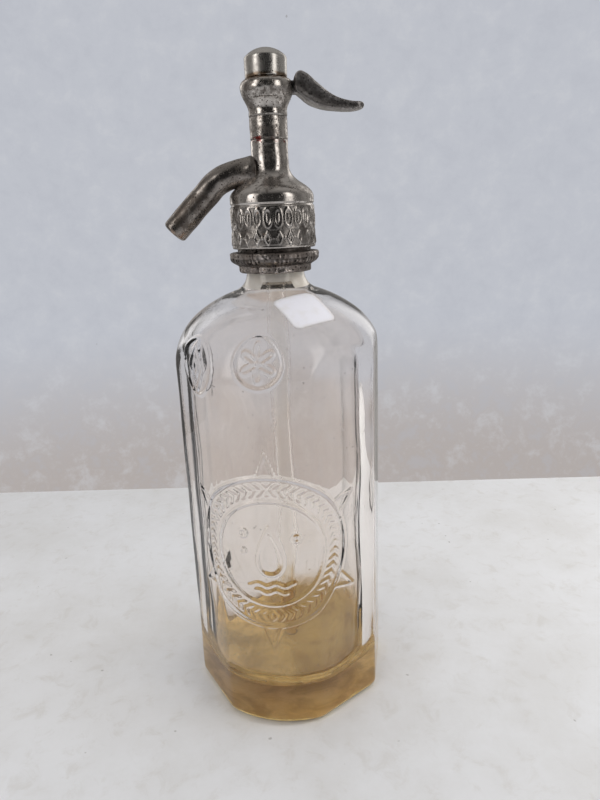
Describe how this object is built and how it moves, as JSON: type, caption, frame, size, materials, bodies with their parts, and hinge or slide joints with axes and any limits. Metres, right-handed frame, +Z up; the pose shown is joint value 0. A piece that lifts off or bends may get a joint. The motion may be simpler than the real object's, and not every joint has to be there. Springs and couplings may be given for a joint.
{
  "type": "soda siphon",
  "caption": "Thick faceted glass siphon bottle with a metal head; pressing the thumb lever lifts a sprung valve and soda leaves by the bent spout.",
  "frame": {"origin": "centre of the bottle's base, on the surface that it stands on", "axes": "+Z up along the bottle's axis; the spout points along -X and the lever along +X; the decorated front faces -Y"},
  "size_m": [0.0986, 0.1008, 0.3066],
  "materials": {
    "bottle_glass": "clear thick moulded glass with seeds and scuffs, amber residue inside the base",
    "tube_glass": "clear glass tube with a yellowish residue",
    "head_metal": "old nickel plate, mirror-like with pits and tarnish",
    "cap_metal": "nickel plate, cleaner than the rest",
    "collar_metal": "dark tarnished white metal",
    "spout_metal": "worn grey-brown metal with fine lengthwise scratches",
    "lever_metal": "dark matte metal, brighter along its edges",
    "pin_steel": "plain steel",
    "inner_brass": "turned brass",
    "spring_steel": "drawn wire",
    "seal_rubber": "black rubber",
    "label_paper": "plain white paper sticker"
  },
  "bodies": {
    "root": {"bottle": "bottle_glass", "dip_tube": "tube_glass", "collar_half_left": "collar_metal", "collar_half_right": "collar_metal", "head_body": "head_metal", "valve_housing": "head_metal", "top_cap": "cap_metal", "spout": "spout_metal", "lever_pin": "pin_steel", "valve_seat": "inner_brass", "gland_ring": "inner_brass", "tube_ferrule": "inner_brass", "spring": "spring_steel", "packing_ring": "seal_rubber", "lip_washer": "seal_rubber", "tube_sleeve": "seal_rubber", "cap_gasket": "seal_rubber", "paper_label": "label_paper"},
    "lever": {"lever": "lever_metal"},
    "valve_stem": {"valve_stem": "inner_brass", "valve_washer": "seal_rubber", "washer_screw": "inner_brass", "spring_washer": "inner_brass"}
  },
  "joints": [
    {"name": "lever_hinge", "type": "hinge", "parent": "root", "child": "lever", "pos_m": [0.0082, 0, 0.29077], "axis": [0, 1, 0], "range_deg": [0, 18], "stiffness_Nm_per_rad": 0.3, "springref_deg": -22.92},
    {"name": "valve_slide", "type": "slide", "parent": "root", "child": "valve_stem", "axis": [0, 0, 1], "range_m": [0, 0.0026], "deforming": ["spring"]}
  ],
  "couplings": [
    {"joint": "valve_slide", "follows": "lever_hinge", "m_per_rad": 0.008066}
  ]
}
